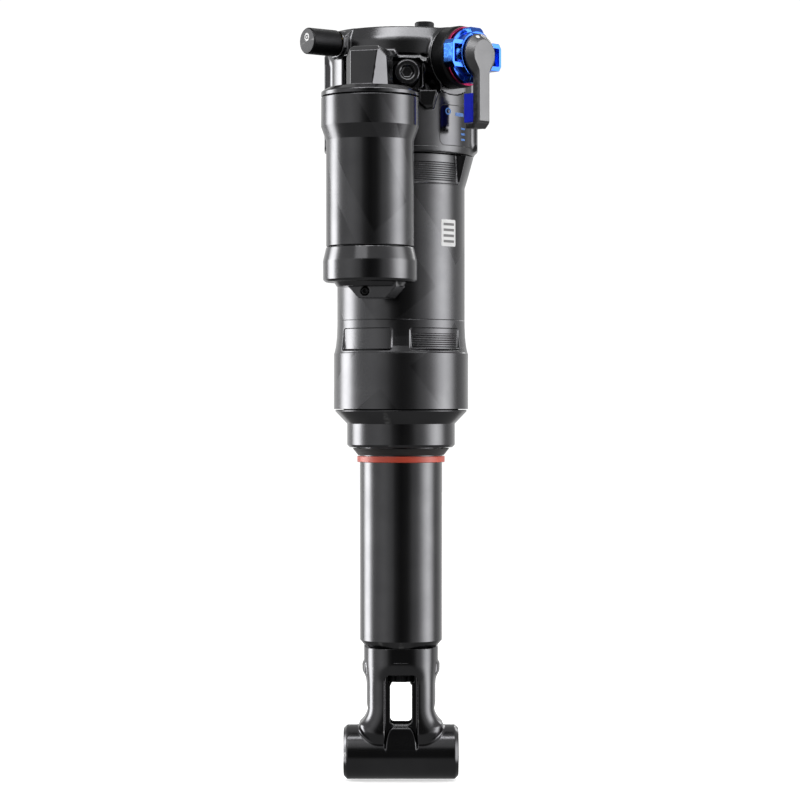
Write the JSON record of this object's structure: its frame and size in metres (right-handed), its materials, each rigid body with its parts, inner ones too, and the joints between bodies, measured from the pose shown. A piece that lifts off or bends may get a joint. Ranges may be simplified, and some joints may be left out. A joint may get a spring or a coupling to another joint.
{
  "type": "rear shock",
  "caption": "Piggyback air rear shock for a bicycle: trunnion head, side reservoir, compression lever and dial, sliding strut tube and wide lower eyelet.",
  "frame": {"origin": "middle of the trunnion axis, on the shock's centreline", "axes": "+X along the trunnion axis to the compression adjuster's side, -Y towards the reservoir, +Z along the centreline towards the head's top; the lower eyelet's axis is parallel to X at z = -230 mm"},
  "size_m": [0.0706, 0.0822, 0.2695],
  "materials": {
    "black_anodised": "semi-gloss black anodised aluminium, fine turned or forged grain",
    "black_matte": "matte black anodised aluminium",
    "grey_anodised": "satin grey anodised aluminium",
    "blue_anodised": "glossy bright blue anodised aluminium",
    "red_anodised": "glossy dark red anodised aluminium",
    "steel": "ground steel",
    "bare_aluminium": "turned bare aluminium",
    "brass": "turned brass",
    "black_rubber": "matte black nitrile rubber",
    "red_rubber": "satin orange-red rubber",
    "bearing_polymer": "filled bearing polymer"
  },
  "bodies": {
    "root": {"head": "black_anodised", "air_can": "black_anodised", "can_o_ring": "black_rubber", "can_end_ring": "black_anodised", "end_ring_o_ring": "black_rubber", "strut_guide_bushing": "bearing_polymer", "strut_air_seal": "black_rubber", "wiper_seal": "black_rubber", "top_out_bumper": "black_rubber", "bleed_screw": "black_matte", "damper_tube": "bare_aluminium", "damper_end_cap": "bare_aluminium", "rod_seal": "black_rubber", "reservoir_body": "black_anodised", "reservoir_seal": "black_rubber", "reservoir_end_cap": "black_anodised", "end_cap_seal": "black_rubber", "gas_charge_screw": "black_matte", "compression_housing": "black_matte", "compression_detent_ring": "red_anodised", "valve_body": "brass", "valve_core": "brass", "bottom_out_sleeve": "black_matte"},
    "shaft": {"strut_tube": "black_anodised", "air_piston": "bare_aluminium", "air_piston_seal": "black_rubber", "air_piston_guide": "bearing_polymer", "air_piston_inner_seal": "black_rubber", "damper_rod": "steel", "compression_shims": "steel", "main_piston": "brass", "main_piston_ring": "bearing_polymer", "rebound_shims": "steel", "piston_nut": "steel", "bottom_out_bumper": "black_rubber", "lower_eyelet": "black_anodised", "bearing_outer_left": "steel", "bearing_outer_right": "steel", "bearing_seal_left": "black_rubber", "bearing_seal_right": "black_rubber"},
    "sag_indicator": {"sag_ring": "red_rubber"},
    "gas_piston": {"floating_piston": "bare_aluminium", "floating_piston_seal": "black_rubber"},
    "compression_lever": {"lockout_lever": "grey_anodised", "compression_spindle": "steel", "lever_insert": "blue_anodised"},
    "compression_crown": {"compression_dial": "blue_anodised"},
    "bottom_out_adjuster": {"bottom_out_knob": "black_anodised"},
    "rebound_adjuster": {"rebound_wheel": "black_matte", "rebound_rod": "steel"},
    "eyelet_axle": {"axle_sleeve": "bare_aluminium", "bearing_inner_left": "steel", "bearing_inner_right": "steel"},
    "dust_cap": {"valve_cap": "black_matte"},
    "core_pin": {"valve_pin": "steel"}
  },
  "joints": [
    {"name": "stroke", "type": "slide", "parent": "root", "child": "shaft", "axis": [0, 0, 1], "range_m": [0, 0.065], "stiffness_N_per_m": 20000, "springref_m": -0.01},
    {"name": "sag_ring_slide", "type": "slide", "parent": "shaft", "child": "sag_indicator", "axis": [0, 0, -1], "range_m": [0, 0.065]},
    {"name": "floating_piston_slide", "type": "slide", "parent": "root", "child": "gas_piston", "axis": [0, 0, -1], "range_m": [0, 0.0136]},
    {"name": "compression_lever_turn", "type": "hinge", "parent": "root", "child": "compression_lever", "pos_m": [0.02758, -0.02758, 0.0153], "axis": [-0.7071, 0.7071, 0], "range_deg": [0, 70]},
    {"name": "compression_dial_turn", "type": "hinge", "parent": "root", "child": "compression_crown", "pos_m": [0.02334, -0.02334, 0.0153], "axis": [0.7071, -0.7071, 0], "range_deg": [0, 120]},
    {"name": "bottom_out_turn", "type": "hinge", "parent": "root", "child": "bottom_out_adjuster", "pos_m": [0.00209, -0.02993, 0.009], "axis": [0.0698, -0.9976, 0], "range_deg": [0, 144]},
    {"name": "rebound_turn", "type": "hinge", "parent": "shaft", "child": "rebound_adjuster", "pos_m": [0, 0, -0.2033], "axis": [0, 0, 1], "range_deg": [0, 300]},
    {"name": "eyelet_bearing", "type": "hinge", "parent": "shaft", "child": "eyelet_axle", "pos_m": [0, 0, -0.23], "axis": [1, 0, 0], "continuous": true},
    {"name": "dust_cap_unscrew", "type": "slide", "parent": "root", "child": "dust_cap", "axis": [-0.7986, -0.6018, 0], "range_m": [0, 0.01]},
    {"name": "valve_pin_press", "type": "slide", "parent": "root", "child": "core_pin", "axis": [0.7986, 0.6018, 0], "range_m": [0, 0.0008], "stiffness_N_per_m": 200, "springref_m": -0.002}
  ],
  "couplings": [
    {"joint": "sag_ring_slide", "follows": "stroke", "ratio": 1},
    {"joint": "floating_piston_slide", "follows": "stroke", "ratio": 0.2066}
  ]
}
